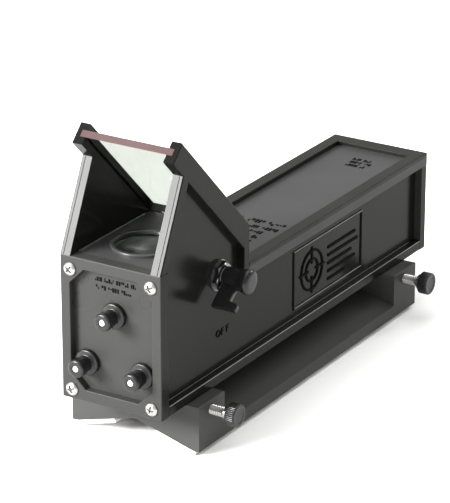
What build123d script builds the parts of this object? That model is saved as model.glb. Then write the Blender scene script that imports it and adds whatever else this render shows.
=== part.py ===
from build123d import *

import os
from math import cos, radians, sin, tan

# Reflex finder for a telescope: a box with a sloping glass window, held on a stick-on base.
#
# Millimetres. The sight's pieces are drawn in the sight's own frame and then set on the base:
# X to the right as the user looks in, Y away from the user, Z up, with Y = 0 at the face of the
# user's panel and Z = 0 at the sight's underside. The row frame has its origin in the middle of the
# base's footprint, at the lowest edge of the foam.

# ---- overall sizes of the sight ----
SIGHT_WIDTH = 44.0
SIGHT_LENGTH = 203.5
TALL_HEIGHT = 57.3        # user's end, up to the deck that holds the lens
BOX_HEIGHT = 42.0         # low box with the battery, behind the wings
BOX_START = 61.8          # where the low box begins
WING_REACH = 46.6         # how far the wings climb back over the user's end, measured along Y
WING_LEAN = 25.1          # degrees from upright of the wings' front edges

# ---- walls ----
USER_PANEL_T = 5.0
FAR_PANEL_T = 4.2
LEDGE = 4.2               # raised border along the bottom of each side
SIDE_RECESS = 3.0         # how deep each side's panel is sunk
SIDE_SKIN = 1.4
POST = 3.8                # raised post between the wing's panel and the low box
LID_HEIGHT = 5.4
LID_BORDER = 5.3
LID_RECESS = 2.0
LID_PLATE = 1.6
PANEL_BORDER = 4.1
PANEL_RECESS = 3.0
PANEL_CORNER = 6.2
FLOOR_T = 2.5
DECK_T = 2.0
STEP_WALL_T = 2.0
FIT = 0.05                # gap beside pieces that are assembled and stay put
LID_GAP = 0.2             # gap round pieces that lift off
EDGE_ROUND = 0.4          # softened outer edges of the mouldings

# ---- nameplate, a raised frame on each side ----
NAMEPLATE_LENGTH = 54.5
NAMEPLATE_FROM_END = 45.3 # from its far edge to the far panel
NAMEPLATE_LOW, NAMEPLATE_HIGH = 7.6, 32.4
NAMEPLATE_RIB = 0.9
NAMEPLATE_RISE = 0.6

# ---- window ----
GLASS_T = 2.75
GLASS_PLAY = 0.1          # the slot is this much wider than the glass
GLASS_SLOT_DEPTH = 2.3    # into each wing
UPPER_LIP = 2.75          # of each wing, over the glass
LOWER_LIP = 3.1           # of each wing, under the glass

# ---- optics ----
LENS_Y = 23.5
LENS_R = 12.0
LENS_EDGE_T = 1.7
LENS_CROWN = 1.2
RING_LIP = 1.2            # the ring reaches this far past the lens
RING_H = 1.1
BEAM_Z = 24.0             # height of the light's path through the box
MIRROR_HALF = 14.2        # half the mirror's length along its slope
MIRROR_WIDTH = 26.0
MIRROR_T = 2.0
MOUNT_WIDTH = 31.0
MOUNT_START = 8.6         # front of the mirror mount's upright plate
MOUNT_PLATE = 3.0
MOUNT_WALL = 2.0
MOUNT_TOP = 42.6
MOUNT_FOOT = 7.0
MASK_TO_HOLDER = 23.0     # from the mask's face to the battery holder
MASK_T = 3.4
MASK_TO_LID = 2.6
DISC_R = 7.5
DISC_T = 1.0
LED_R = 2.5
LED_LENGTH = 8.6

# ---- adjusters ----
ADJUSTERS = {"top": (0.0, 36.5), "left": (-12.1, 15.3), "right": (12.1, 15.3)}
SCREW_R = 1.5
KNOB_R = 3.5
KNOB_END = -6.0
KNOB_FLANGE_R = 5.05
RUNNING = 0.05            # radial gap of a shaft that turns in its hole
TILT_GAP = 0.15           # radial gap where the mirror mount rocks on the screws
INSERT_R = 2.6
SPRING_R = 3.0
SPRING_WIRE_R = 0.3
SPRING_RELIEF = 1.1       # the mount's top comes this much nearer at the end of its travel

# ---- brightness control ----
CONTROL_TO_BOX = 17.5     # from the control's axis to the low box
CONTROL_Z = 42.2
POT_R = 8.0
POT_DEPTH = 8.0
SHAFT_R = 3.0
BUSHING_R = 3.5
NUT_FLATS = 10.0
NUT_T = 2.4
HUB_R = 4.1
HUB_RIM_R = 4.95
HUB_LENGTH = 12.0         # past the shell
ARM_T = 2.2
ARM_LENGTH = 13.4
ARM_WIDTH = 6.5
ARM_DIRECTION = 218.1     # degrees in the side view, from +Y towards +Z
FOOT_REACH = 4.0          # of the thumb tab at the arm's end
FOOT_HEIGHT = 2.7

# ---- battery ----
HOLDER_FROM_END = 8.3     # from the holder to the far panel
HOLDER_WALL = 1.5
HOLDER_SIDE = 1.25        # of the holder beside each cell
CELL_R = 7.25
CELL_BODY = 49.0
CELL_NUB = 1.5
CELL_SPACING = 0.9        # between the two cells
CELL_Z = 11.0
CONTACT_T = 0.4
CONTACT_SPRING = 3.7      # length of each cell's contact spring
WIRE_R = 0.65
LANE_IN, LANE_Z = 3.0, 5.2  # the wires' run along the wall: in from it, and up

# ---- fasteners ----
PANEL_SCREW_R = 1.2
PANEL_SCREW_HEAD_R = 2.65
PANEL_SCREW_HEAD_T = 1.5
PANEL_SCREW_GRIP = 6.0    # of thread past the panel
PANEL_SCREW_IN = 4.0      # from the sight's underside to the lower screws
USER_SCREW_DOWN = 5.1     # from the deck to the upper screws
BOSS_R = 2.9
BOSS_LENGTH = 7.6

# ---- base ----
BASE_WIDTH = 57.0
BASE_LENGTH = 168.7
BASE_HEIGHT = 20.1        # foam's lowest edge up to the seat
BLOCK_LENGTH = 18.2
SADDLE_APEX = 9.0         # top of the V under the base
SADDLE_SLOPE = 15.5       # degrees
RIM_BOTTOM = 1.8
SPAN_RIDGE = 14.7
FOAM_T = 1.65
FOAM_INNER = 9.0          # distance of the foam's inner edge from the centre line
SIGHT_SHIFT = 1.4         # the sight stands this far to the right of the base's centre line
FOOT_WIDTH, FOOT_LENGTH, FOOT_DEPTH = 14.0, 8.0, 7.6
FOOT_GAP = 0.3
CLAMP_R = 2.08
CLAMP_DROP = 4.0          # screw's axis below the seat
CLAMP_EXPOSED = 6.5
COLLAR_T = 1.4
COLLAR_R = 3.0
CLAMP_KNOB_R = 4.6
CLAMP_KNOB_T = 4.2
CLAMP_FLUTES = 22

# ---- places worked out from the sizes ----
HALF = SIGHT_WIDTH / 2
SKIN_OUT = HALF - SIDE_RECESS
SKIN_IN = SKIN_OUT - SIDE_SKIN
INSIDE = SKIN_IN - FIT
LID_BASE = BOX_HEIGHT - LID_HEIGHT
BODY_END = SIGHT_LENGTH - FAR_PANEL_T
PANEL_SCREW_X = SKIN_IN
USER_SCREW_TOP = TALL_HEIGHT - USER_SCREW_DOWN
GLASS_SLOT_T = GLASS_T + GLASS_PLAY
RING_R = LENS_R + RING_LIP
HUB_END = HALF + HUB_LENGTH
CONTROL_Y = BOX_START - CONTROL_TO_BOX
CELL_X = CELL_R + CELL_SPACING / 2
HOLDER_WIDTH = 2 * (CELL_X + CELL_R + HOLDER_SIDE)
HOLDER_LENGTH = CELL_BODY + CELL_NUB + CONTACT_SPRING + 2 * (HOLDER_WALL + CONTACT_T)
HOLDER_START = BODY_END - HOLDER_FROM_END - HOLDER_LENGTH
MASK_Y = HOLDER_START - MASK_TO_HOLDER
MASK_HEIGHT = LID_BASE - MASK_TO_LID
NAMEPLATE_END = BODY_END - NAMEPLATE_FROM_END
NAMEPLATE_START = NAMEPLATE_END - NAMEPLATE_LENGTH
ROOT2 = 2 ** 0.5
SLOPE_TOP = BOX_START + TALL_HEIGHT                  # y + z along the wings' upper edges
SLOT_TOP = SLOPE_TOP - UPPER_LIP * ROOT2             # y + z along the slot's upper face
SLOT_LOW = SLOT_TOP - GLASS_SLOT_T * ROOT2
SLOPE_LOW = SLOT_LOW - LOWER_LIP * ROOT2             # y + z along the wings' lower lips
WING_TIP = (BOX_START - WING_REACH, TALL_HEIGHT + WING_REACH)
LEAN = tan(radians(WING_LEAN))
GLASS_FOOT_Y = SLOT_LOW - TALL_HEIGHT                # where the glass meets the deck
USER_SCREWS = [(sx * PANEL_SCREW_X, z) for sx in (-1, 1) for z in (PANEL_SCREW_IN, USER_SCREW_TOP)]
FAR_SCREWS = [(sx * PANEL_SCREW_X, z) for sx in (-1, 1)
              for z in (PANEL_SCREW_IN, LID_BASE - PANEL_SCREW_IN)]
SEAT_TO_SIGHT = Pos(SIGHT_SHIFT, -SIGHT_LENGTH / 2, BASE_HEIGHT)

parts = {}


# ---- shapes used throughout ----
def block(x0, x1, y0, y1, z0, z1):
    """A box between two corners."""
    return Pos((x0 + x1) / 2, (y0 + y1) / 2, (z0 + z1) / 2) * Box(x1 - x0, y1 - y0, z1 - z0)


def prism_x(points, x0, x1):
    """An outline of (y, z) points carried along X."""
    return extrude(Plane.YZ.offset(x0) * make_face(Polyline(*points, close=True)), amount=x1 - x0)


def prism_y(points, y0, y1):
    """An outline of (x, z) points carried along Y."""
    plane = Plane(origin=(0, y1, 0), x_dir=(1, 0, 0), z_dir=(0, -1, 0))
    return extrude(plane * make_face(Polyline(*points, close=True)), amount=y1 - y0)


def rod_x(y, z, r, x0, x1):
    return Pos((x0 + x1) / 2, y, z) * Rot(0, 90, 0) * Cylinder(r, x1 - x0)


def rod_y(x, z, r, y0, y1):
    return Pos(x, (y0 + y1) / 2, z) * Rot(90, 0, 0) * Cylinder(r, y1 - y0)


def rod_z(x, y, r, z0, z1):
    return Pos(x, y, (z0 + z1) / 2) * Cylinder(r, z1 - z0)


def turned(profile, place):
    """A profile of (radius, height) points spun about Z, then placed."""
    return place * revolve(make_face(Plane.XZ * Polyline(*profile, close=True)), Axis.Z)


def along_y(x, y, z):
    """Puts a turned piece's axis along +Y."""
    return Pos(x, y, z) * Rot(-90, 0, 0)


def along_x(x, y, z):
    """Puts a turned piece's axis along +X."""
    return Pos(x, y, z) * Rot(0, 90, 0)


def edges_at(shape, axis, value):
    """Edges that lie wholly in one plane across an axis."""
    return shape.edges().filter_by_position(axis, value - 0.01, value + 0.01)


def mirrored(shape):
    return mirror(shape, about=Plane.YZ)


# ---- side shells, each with its wing ----
def slope_point(total, y):
    """The point on a 45 degree line y + z = total."""
    return (y, total - y)


def lean_meets(total, start_y):
    """Where a line that leans like the wing's front edge from (start_y, deck) meets y + z = total."""
    z = (total - start_y + LEAN * TALL_HEIGHT) / (1 + LEAN)
    return (total - z, z)


def side_outline():
    lip_depth = (SLOPE_TOP - SLOPE_LOW) / 2
    return [
        (USER_PANEL_T, 0), (BODY_END, 0), (BODY_END, LID_BASE), (BOX_START, LID_BASE),
        (BOX_START, TALL_HEIGHT), WING_TIP,
        (WING_TIP[0] - lip_depth, WING_TIP[1] - lip_depth),
        lean_meets(SLOPE_LOW, 0), (0, TALL_HEIGHT), (USER_PANEL_T, TALL_HEIGHT),
    ]


def side_recess():
    post_start = BOX_START - POST
    return [
        (USER_PANEL_T, LEDGE), (BODY_END, LEDGE), (BODY_END, LID_BASE), (post_start, LID_BASE),
        slope_point(SLOPE_LOW, post_start), lean_meets(SLOPE_LOW, USER_PANEL_T),
        (USER_PANEL_T, TALL_HEIGHT),
    ]


def glass_slot(low, top, end_gap, tip_reach):
    """Outline in the side view of the glass, or of the slot it slides into.

    low and top are y + z on its two faces, and z - y is constant along each end."""
    foot = TALL_HEIGHT - GLASS_FOOT_Y + 2 * end_gap
    tip = WING_TIP[1] - WING_TIP[0] + 2 * tip_reach
    return [((total - end) / 2, (total + end) / 2)
            for total, end in ((low, foot), (top, foot), (top, tip), (low, tip))]


def side_shell():
    shell = prism_x(side_outline(), SKIN_IN, HALF)
    shell -= prism_x(side_recess(), SKIN_OUT, HALF + 1)
    shell = fillet(edges_at(shell, Axis.X, HALF), EDGE_ROUND)
    shell -= prism_x(glass_slot(SLOT_LOW, SLOT_TOP, 0, 2), SKIN_IN - 1, SKIN_IN + GLASS_SLOT_DEPTH)
    seam = [(-1, TALL_HEIGHT), (0.3, TALL_HEIGHT)]
    seam += [(y + dy, z) for dy in (0.3, -1) for y, z in [lean_meets(SLOPE_LOW, 0)]]
    shell -= prism_x(seam, HALF - 1.7, HALF - 1.45)
    y0, y1, z0, z1 = NAMEPLATE_START, NAMEPLATE_END, NAMEPLATE_LOW, NAMEPLATE_HIGH
    rib = block(SKIN_OUT, SKIN_OUT + NAMEPLATE_RISE, y0, y1, z0, z1)
    rib -= block(SKIN_OUT - 1, HALF, y0 + NAMEPLATE_RIB, y1 - NAMEPLATE_RIB,
                 z0 + NAMEPLATE_RIB, z1 - NAMEPLATE_RIB)
    shell += chamfer(edges_at(rib, Axis.X, SKIN_OUT + NAMEPLATE_RISE), 0.2)
    inner = block(0, SKIN_OUT, 0, SIGHT_LENGTH, 0, TALL_HEIGHT)
    for (x, z), start, end in screw_bosses():
        shell += rod_y(x, z, BOSS_R, start, end) & inner
        shell -= rod_y(x, z, PANEL_SCREW_R + FIT, start - 1, end + 1)
    return shell


def screw_bosses():
    near = [((x, z), USER_PANEL_T, USER_PANEL_T + BOSS_LENGTH) for x, z in USER_SCREWS if x > 0]
    far = [((x, z), BODY_END - BOSS_LENGTH, BODY_END) for x, z in FAR_SCREWS if x > 0]
    return near + far


parts["right_side_shell"] = side_shell() - rod_x(CONTROL_Y, CONTROL_Z, BUSHING_R, 0, HALF)
parts["left_side_shell"] = mirrored(side_shell())


# ---- end panels ----
def end_panel(height, thickness, screws, face_sign):
    """A full-width plate with a sunk panel whose corners are cut off round the screws."""
    plate = block(-HALF, HALF, 0, thickness, 0, height)
    x, low, high = HALF - PANEL_BORDER, PANEL_BORDER + 0.6, height - PANEL_BORDER - 0.3
    c = PANEL_CORNER
    outline = [(-x + c, low), (x - c, low), (x, low + c), (x, high - c),
               (x - c, high), (-x + c, high), (-x, high - c), (-x, low + c)]
    depth = PANEL_RECESS if face_sign < 0 else PANEL_RECESS - 1
    if face_sign < 0:
        plate -= prism_y(outline, -1, depth)
        face = 0
    else:
        plate -= prism_y(outline, thickness - depth, thickness + 1)
        face = thickness
    plate = fillet(edges_at(plate, Axis.Y, face), EDGE_ROUND)
    for sx, z in screws:
        plate -= rod_y(sx, z, PANEL_SCREW_R + RUNNING, -1, thickness + 1)
    return plate


user_panel = end_panel(TALL_HEIGHT, USER_PANEL_T, USER_SCREWS, -1)
for x, z in ADJUSTERS.values():
    user_panel -= rod_y(x, z, SCREW_R + RUNNING, 0, USER_PANEL_T + 1)
parts["user_panel"] = user_panel
parts["far_panel"] = Pos(0, BODY_END, 0) * end_panel(LID_BASE, FAR_PANEL_T, FAR_SCREWS, 1)


# ---- floor with the two feet that enter the base ----
BASE_MID = SIGHT_LENGTH / 2
BLOCK_MID = BASE_LENGTH / 2 - BLOCK_LENGTH / 2
floor = block(-INSIDE, INSIDE, USER_PANEL_T + FIT, BODY_END - FIT, 0, FLOOR_T)
for (x, z), start, end in screw_bosses():
    for sx in (-1, 1):
        floor -= rod_y(sx * x, z, BOSS_R + FIT, start - 1, end + 1)
for sign in (-1, 1):
    foot_y = BASE_MID + sign * BLOCK_MID
    foot = block(-FOOT_WIDTH / 2, FOOT_WIDTH / 2, foot_y - FOOT_LENGTH / 2,
                 foot_y + FOOT_LENGTH / 2, -FOOT_DEPTH, FLOOR_T)
    floor += chamfer(edges_at(foot, Axis.Z, -FOOT_DEPTH), 0.8)
parts["floor_panel"] = floor


# ---- deck with the lens's seat, the step wall and the window's sill ----
deck_low = TALL_HEIGHT - DECK_T
deck = block(-INSIDE, INSIDE, USER_PANEL_T + FIT, BOX_START, deck_low, TALL_HEIGHT)
deck += block(-INSIDE, INSIDE, BOX_START - STEP_WALL_T, BOX_START, LID_BASE, deck_low)
sill_rise = (SLOPE_TOP - SLOT_LOW) / 2
deck += prism_x([(GLASS_FOOT_Y, TALL_HEIGHT), (GLASS_FOOT_Y + sill_rise, TALL_HEIGHT + sill_rise),
                 (BOX_START, TALL_HEIGHT)], -INSIDE, INSIDE)
deck += rod_z(0, LENS_Y, RING_R + 0.6, deck_low - 2, deck_low)
deck -= rod_z(0, LENS_Y, LENS_R + FIT, deck_low, TALL_HEIGHT + 1)
deck -= rod_z(0, LENS_Y, LENS_R - 1.2, deck_low - 3, deck_low + 1)
parts["lens_deck"] = deck

ring = turned([(LENS_R - 0.9, 0), (RING_R, 0), (RING_R, RING_H - 0.4), (RING_R - 0.4, RING_H),
               (LENS_R - 0.5, RING_H), (LENS_R - 0.9, RING_H - 0.3)], Pos(0, LENS_Y, TALL_HEIGHT))
parts["lens_ring"] = ring

crown_r = (LENS_R ** 2 + LENS_CROWN ** 2) / (2 * LENS_CROWN)
lens_top = deck_low + LENS_EDGE_T
crown = Pos(0, LENS_Y, lens_top + LENS_CROWN - crown_r) * Sphere(crown_r)
lens = rod_z(0, LENS_Y, LENS_R, deck_low, lens_top)
lens += crown & rod_z(0, LENS_Y, LENS_R - 0.95, lens_top, lens_top + LENS_CROWN + 1)
parts["lens"] = lens

glass_gap = (GLASS_SLOT_T - GLASS_T) / 2 * ROOT2
parts["window_glass"] = prism_x(
    glass_slot(SLOT_LOW + glass_gap, SLOT_TOP - glass_gap, FIT, -FIT),
    -SKIN_IN - GLASS_SLOT_DEPTH + FIT, SKIN_IN + GLASS_SLOT_DEPTH - FIT)


# ---- lid over the battery ----
lid = block(-HALF, HALF, BOX_START + FIT, SIGHT_LENGTH, LID_BASE, BOX_HEIGHT)
lid_floor = BOX_HEIGHT - LID_RECESS
sunk = block(-HALF + LID_BORDER, HALF - LID_BORDER, BOX_START + LID_BORDER,
             SIGHT_LENGTH - LID_BORDER - 1.2, lid_floor, BOX_HEIGHT + 1)
lid -= sunk
lid = fillet(edges_at(lid, Axis.Z, BOX_HEIGHT), EDGE_ROUND)
lid -= block(-SKIN_OUT + 0.6, SKIN_OUT - 0.6, BOX_START + 2, SIGHT_LENGTH - FAR_PANEL_T + 0.6,
             LID_BASE - 1, lid_floor - LID_PLATE)
for sx in (-1, 1):
    lip_x = sx * (INSIDE - LID_GAP - 0.6)
    lid += block(lip_x - 0.6, lip_x + 0.6, BOX_START + 12, BODY_END - 12,
                 LID_BASE - 2, lid_floor - LID_PLATE)
parts["battery_lid"] = lid


# ---- screws that hold the end panels ----
def panel_screw(length):
    """A pan-head screw with a cross recess, pointing along +Z with its head below Z = 0."""
    head = turned([(0, 0), (PANEL_SCREW_HEAD_R, 0), (PANEL_SCREW_HEAD_R, -0.5),
                   (PANEL_SCREW_HEAD_R - 0.5, -1.15), (PANEL_SCREW_HEAD_R - 1.4, -PANEL_SCREW_HEAD_T),
                   (0, -PANEL_SCREW_HEAD_T)], Pos(0, 0, 0))
    for angle in (0, 90):
        head -= Pos(0, 0, -PANEL_SCREW_HEAD_T) * Rot(0, 0, angle) * Box(2.9, 0.62, 1.7)
    return head + turned([(0, 0), (PANEL_SCREW_R, 0), (PANEL_SCREW_R, length - 1.4),
                          (0.3, length), (0, length)], Pos(0, 0, 0))


parts["user_panel_screws"] = Compound(children=[
    along_y(x, 0, z) * Rot(0, 0, 20 + 31 * i) * panel_screw(USER_PANEL_T + PANEL_SCREW_GRIP)
    for i, (x, z) in enumerate(USER_SCREWS)])
parts["far_panel_screws"] = Compound(children=[
    Pos(x, SIGHT_LENGTH, z) * Rot(90, 0, 0) * Rot(0, 0, 12 + 27 * i)
    * panel_screw(FAR_PANEL_T + PANEL_SCREW_GRIP) for i, (x, z) in enumerate(FAR_SCREWS)])


# ---- mirror on its rocking mount ----
mirror_sum = LENS_Y + BEAM_Z                         # y + z along the mirror's face
back_sum = mirror_sum - MIRROR_T * ROOT2
mount_back = MOUNT_START + MOUNT_PLATE
mount = prism_x([(MOUNT_START, MOUNT_FOOT), (MOUNT_START, MOUNT_TOP), (mount_back, MOUNT_TOP),
                 slope_point(back_sum, mount_back), (back_sum - MOUNT_FOOT - 2, MOUNT_FOOT + 2),
                 (back_sum - MOUNT_FOOT - 2, MOUNT_FOOT)], -MOUNT_WIDTH / 2, MOUNT_WIDTH / 2)
hollow_sum = back_sum - MOUNT_WALL * ROOT2
hollow_half = MOUNT_WIDTH / 2 - 1.7
mount -= prism_x([(mount_back, MOUNT_FOOT - 1), slope_point(hollow_sum, mount_back),
                  (hollow_sum - MOUNT_FOOT + 1, MOUNT_FOOT - 1)], -hollow_half, hollow_half)
inserts = []
for x, z in ADJUSTERS.values():
    mount -= rod_y(x, z, INSERT_R, MOUNT_START - 1, mount_back + 1)
    insert = rod_y(x, z, INSERT_R, MOUNT_START, mount_back)
    inserts.append(insert - rod_y(x, z, SCREW_R + TILT_GAP, MOUNT_START - 1, mount_back + 1))
parts["mirror_mount"] = mount
parts["mount_inserts"] = Compound(children=inserts)

mirror_low = slope_point(mirror_sum, LENS_Y + MIRROR_HALF / ROOT2)
mirror_high = slope_point(mirror_sum, LENS_Y - MIRROR_HALF / ROOT2)
mirror_back = MIRROR_T / ROOT2
parts["mirror"] = prism_x(
    [mirror_low, mirror_high, (mirror_high[0] - mirror_back, mirror_high[1] - mirror_back),
     (mirror_low[0] - mirror_back, mirror_low[1] - mirror_back)], -MIRROR_WIDTH / 2, MIRROR_WIDTH / 2)


def coil(radius, wire_r, start, end, turns, place):
    """A compression spring from start to end along its own Z axis."""
    height = end - start - 2 * wire_r
    path = Helix(pitch=height / turns, height=height, radius=radius)
    section = Plane(path @ 0, z_dir=path % 0) * Circle(wire_r)
    return place * Pos(0, 0, start + wire_r) * sweep(section, path=path)


for name, (x, z) in ADJUSTERS.items():
    relief = SPRING_RELIEF if name == "top" else FIT
    parts[f"mirror_spring_{name}"] = coil(
        SPRING_R, SPRING_WIRE_R, USER_PANEL_T, MOUNT_START - relief, 3, along_y(x, 0, z))


# ---- adjusters: a knob on a screw, turned from outside ----
knob_seat = PANEL_RECESS - 0.5
knob_profile = [
    (SCREW_R, knob_seat), (KNOB_FLANGE_R - 0.3, knob_seat), (KNOB_FLANGE_R, knob_seat - 0.3),
    (KNOB_FLANGE_R, 1.5), (KNOB_FLANGE_R - 0.4, 1.1), (3.5, 0.9), (3.0, 0.2), (3.0, -1.6),
    (KNOB_R, -2.1), (KNOB_R, KNOB_END + 0.8), (KNOB_R - 0.25, KNOB_END + 0.25),
    (KNOB_R - 0.8, KNOB_END), (SCREW_R, KNOB_END)]
for name, (x, z) in ADJUSTERS.items():
    parts[f"adjuster_knob_{name}"] = turned(knob_profile, along_y(x, 0, z))
    parts[f"adjuster_screw_{name}"] = turned(
        [(0, KNOB_END + 0.15), (SCREW_R - 0.4, KNOB_END + 0.15), (SCREW_R, KNOB_END + 0.5),
         (SCREW_R, mount_back + 0.5), (SCREW_R - 0.5, mount_back + 1.0), (0, mount_back + 1.0)],
        along_y(x, 0, z))
parts["adjuster_washers"] = Compound(children=[
    rod_y(x, z, KNOB_FLANGE_R, knob_seat, PANEL_RECESS)
    - rod_y(x, z, SCREW_R + RUNNING, 0, PANEL_RECESS + 1) for x, z in ADJUSTERS.values()])


# ---- brightness control: potentiometer, nut and lever knob ----
place = along_x(0, CONTROL_Y, CONTROL_Z)
pot_face = SKIN_IN - 0.1
pot_back = pot_face - POT_DEPTH
parts["potentiometer"] = turned(
    [(SHAFT_R + RUNNING, pot_back), (POT_R, pot_back), (POT_R, pot_face), (BUSHING_R, pot_face),
     (BUSHING_R, HALF + 0.2), (SHAFT_R + RUNNING, HALF + 0.2)], place)
washer = rod_x(CONTROL_Y, CONTROL_Z, 6.1, SKIN_OUT, SKIN_OUT + 0.5)
parts["control_washer"] = washer - rod_x(CONTROL_Y, CONTROL_Z, BUSHING_R, 0, HALF)
nut_face = Plane(origin=(SKIN_OUT + 0.5, CONTROL_Y, CONTROL_Z), x_dir=(0, 1, 0), z_dir=(1, 0, 0))
nut = extrude(nut_face * RegularPolygon(NUT_FLATS / 2, 6, major_radius=False, rotation=11), NUT_T)
nut &= turned([(0, SKIN_OUT), (5.2, SKIN_OUT), (5.8, SKIN_OUT + 1.1), (5.8, SKIN_OUT + 2.2),
               (5.0, SKIN_OUT + 0.5 + NUT_T), (0, SKIN_OUT + 0.5 + NUT_T)], place)
parts["control_nut"] = nut - rod_x(CONTROL_Y, CONTROL_Z, BUSHING_R, 0, HALF + 1)
parts["control_shaft"] = rod_x(CONTROL_Y, CONTROL_Z, SHAFT_R, pot_back + 0.1, HUB_END - 2.5)

hub_start = HALF + 0.5
hub = turned([(SHAFT_R, hub_start), (HUB_R, hub_start), (HUB_R, HUB_END - 4.6),
              (HUB_R + 0.35, HUB_END - 3.4), (HUB_RIM_R, HUB_END - 2.4), (HUB_RIM_R, HUB_END - 1.0),
              (HUB_RIM_R - 0.35, HUB_END - 0.35), (HUB_RIM_R - 1.1, HUB_END), (0, HUB_END),
              (0, HUB_END - 2.5), (SHAFT_R, HUB_END - 2.5)], place)
a = radians(ARM_DIRECTION)
arm_plane = Plane(origin=(0, CONTROL_Y, CONTROL_Z), x_dir=(1, 0, 0), z_dir=(0, -sin(a), cos(a)))
arm_outline = [
    (hub_start, HUB_R - 0.6), (hub_start + ARM_WIDTH, HUB_R - 0.6),
    (hub_start + ARM_WIDTH, ARM_LENGTH - FOOT_HEIGHT - 0.6),
    (hub_start + ARM_WIDTH + FOOT_REACH, ARM_LENGTH - FOOT_HEIGHT),
    (hub_start + ARM_WIDTH + FOOT_REACH, ARM_LENGTH), (hub_start, ARM_LENGTH)]
arm = extrude(arm_plane * make_face(Polyline(*arm_outline, close=True)), ARM_T / 2, both=True)
arm = chamfer(arm.edges().filter_by(Axis.X).sort_by(Axis.Z)[:2], 0.4)
parts["brightness_knob"] = hub + (arm - rod_x(CONTROL_Y, CONTROL_Z, SHAFT_R, 0, 60))


# ---- light source ----
mask = block(-INSIDE, INSIDE, MASK_Y, MASK_Y + MASK_T, FLOOR_T, MASK_HEIGHT)
for sx in (-1, 1):
    x0, x1 = sorted((sx * 10.5, sx * (INSIDE + 1)))
    mask -= block(x0, x1, MASK_Y - 1, MASK_Y + MASK_T + 1, 0, 10)
mask -= rod_y(0, BEAM_Z, DISC_R + FIT, MASK_Y - 1, MASK_Y + DISC_T + FIT)
mask -= rod_y(0, BEAM_Z, LED_R + 0.4 + FIT, MASK_Y, MASK_Y + MASK_T + 1)
parts["light_mask"] = mask
parts["reticle_disc"] = rod_y(0, BEAM_Z, DISC_R, MASK_Y, MASK_Y + DISC_T)
led_start = MASK_Y + DISC_T + 0.3
led = rod_y(0, BEAM_Z, LED_R, led_start + LED_R, led_start + LED_LENGTH)
led += Pos(0, led_start + LED_R, BEAM_Z) * Sphere(LED_R)
led_end = led_start + LED_LENGTH
for sx in (-1, 1):
    led += rod_y(sx * 1.27, BEAM_Z, 0.3, led_end, led_end + 3)
parts["led"] = led


# ---- battery ----
holder_end = HOLDER_START + HOLDER_LENGTH
holder = block(-HOLDER_WIDTH / 2, HOLDER_WIDTH / 2, HOLDER_START, holder_end, FLOOR_T, CELL_Z)
for sx in (-1, 1):
    holder -= rod_y(sx * CELL_X, CELL_Z, CELL_R + 0.1, HOLDER_START, holder_end)
for y in (HOLDER_START, holder_end - HOLDER_WALL):
    holder += block(-HOLDER_WIDTH / 2, HOLDER_WIDTH / 2, y, y + HOLDER_WALL, FLOOR_T, CELL_Z + 7)
for (x, z), start, end in screw_bosses():
    for sx in (-1, 1):
        holder -= rod_y(sx * x, z, BOSS_R + FIT, start - 1, end + 1)
parts["battery_holder"] = holder

near_contact = HOLDER_START + HOLDER_WALL + CONTACT_T
far_contact = holder_end - HOLDER_WALL - CONTACT_T
contacts = []
for sx, forward in ((1, 1), (-1, -1)):
    nub_face = far_contact if forward > 0 else near_contact
    body_end = nub_face - forward * CELL_NUB
    body_start = body_end - forward * CELL_BODY
    y0, y1 = sorted((body_start, body_end))
    n0, n1 = sorted((body_end, nub_face))
    cell = rod_y(sx * CELL_X, CELL_Z, CELL_R, y0, y1)
    cell = fillet(cell.edges(), 0.5) + rod_y(sx * CELL_X, CELL_Z, 2.7, n0, n1)
    parts["battery_cell_right" if sx > 0 else "battery_cell_left"] = cell
    spring_face = near_contact if forward > 0 else far_contact
    spring_place = along_y(sx * CELL_X, 0, CELL_Z)
    contacts.append(coil(3.2, 0.35, min(spring_face, body_start), max(spring_face, body_start), 3,
                         spring_place))
    for y in (near_contact - CONTACT_T, far_contact):
        contacts.append(block(sx * CELL_X - 5, sx * CELL_X + 5, y, y + CONTACT_T,
                              CELL_Z - 3.5, CELL_Z + 6))
parts["battery_contacts"] = Compound(children=contacts)


# ---- wires inside the box ----
def wire(points):
    """A round wire along straight runs joined by arcs as large as the runs allow."""
    corners = [Vector(*p) for p in points]
    radii = []
    for before, at, after in zip(corners, corners[1:], corners[2:]):
        turn = radians((at - before).get_angle(after - at))
        radii.append(0.45 * min((at - before).length, (after - at).length) / tan(turn / 2))
    path = FilletPolyline(*points, radius=radii)
    return sweep(Plane(path @ 0, z_dir=path % 0) * Circle(WIRE_R), path=path)


LANE_X = SKIN_IN - LANE_IN
terminal_z = CONTROL_Z - POT_R - 0.2
led_lead = led_end + 3
parts["wire_battery_to_control"] = wire([
    (CELL_X + 4, HOLDER_START, 16), (CELL_X + 4, HOLDER_START - 5, 16),
    (LANE_X, HOLDER_START - 17, LANE_Z), (LANE_X + 0.2, 75, LANE_Z - 0.6),
    (LANE_X, CONTROL_Y + 10, LANE_Z + 3), (LANE_X, CONTROL_Y, terminal_z - 8),
    (LANE_X, CONTROL_Y, terminal_z)])
parts["wire_control_to_light"] = wire([
    (LANE_X - 3, CONTROL_Y, terminal_z), (LANE_X - 3, CONTROL_Y, terminal_z - 8),
    (LANE_X - 2, CONTROL_Y + 12, LANE_Z + 2), (LANE_X - 1.9, 80, LANE_Z - 0.8),
    (LANE_X - 2, MASK_Y - 4, LANE_Z - 0.6), (LANE_X - 3, MASK_Y + 10, LANE_Z + 1),
    (4, led_lead + 6, BEAM_Z - 10), (1.27, led_lead + 4, BEAM_Z - 1), (1.27, led_lead, BEAM_Z)])
parts["wire_light_to_battery"] = wire([
    (-1.27, led_lead, BEAM_Z), (-1.8, led_lead + 3.5, BEAM_Z - 1.2),
    (-CELL_X - 4, HOLDER_START - 4.5, 16), (-CELL_X - 4, HOLDER_START, 16)])

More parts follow.
